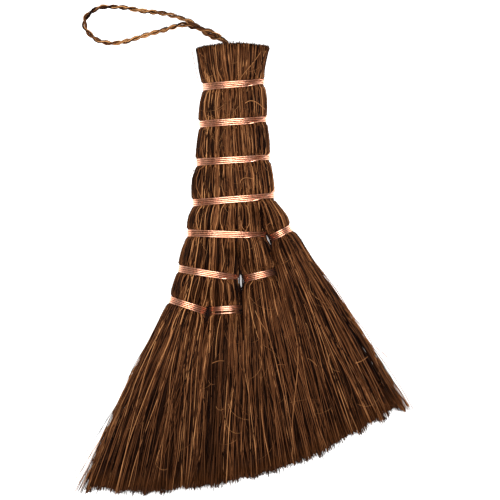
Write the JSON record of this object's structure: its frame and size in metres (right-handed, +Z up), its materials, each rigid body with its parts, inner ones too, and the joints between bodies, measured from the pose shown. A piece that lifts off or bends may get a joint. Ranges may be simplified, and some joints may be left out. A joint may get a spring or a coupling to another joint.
{
  "type": "hand broom",
  "caption": "Short hand broom of dark palm fibre: bundles bound into one neck with copper wire, an uneven fan of bristles and a twisted rope loop to hang it by.",
  "frame": {"origin": "on the surface the broom lies on, below the middle of its box without the rope", "axes": "+Y from the brush tips towards the top of the neck, +Z up off the surface, +X to the right seen from above with the neck up"},
  "size_m": [0.1919, 0.2956, 0.0276],
  "materials": {
    "palm_fibre": "dry coarse fibre",
    "copper_wire": "drawn bright",
    "palm_rope": "twisted fibre"
  },
  "bodies": {
    "broom": {"bundle_left": "palm_fibre", "bundle_mid_left": "palm_fibre", "bundle_mid_right": "palm_fibre", "bundle_right": "palm_fibre", "neck_wire_1": "copper_wire", "neck_wire_2": "copper_wire", "neck_wire_3": "copper_wire", "neck_wire_4": "copper_wire", "neck_wire_5": "copper_wire", "neck_wire_6": "copper_wire", "tie_left": "copper_wire", "tie_mid_left": "copper_wire", "tie_mid_right": "copper_wire", "tie_right": "copper_wire", "loop_tail": "palm_rope", "loop_knot": "palm_rope"},
    "loop": {"hanging_loop": "palm_rope"}
  },
  "joints": [
    {"name": "loop_swing", "type": "hinge", "parent": "broom", "child": "loop", "pos_m": [-0.01083, 0.13699, 0.01365], "axis": [0, 0, 1], "range_deg": [-115, 20]}
  ]
}
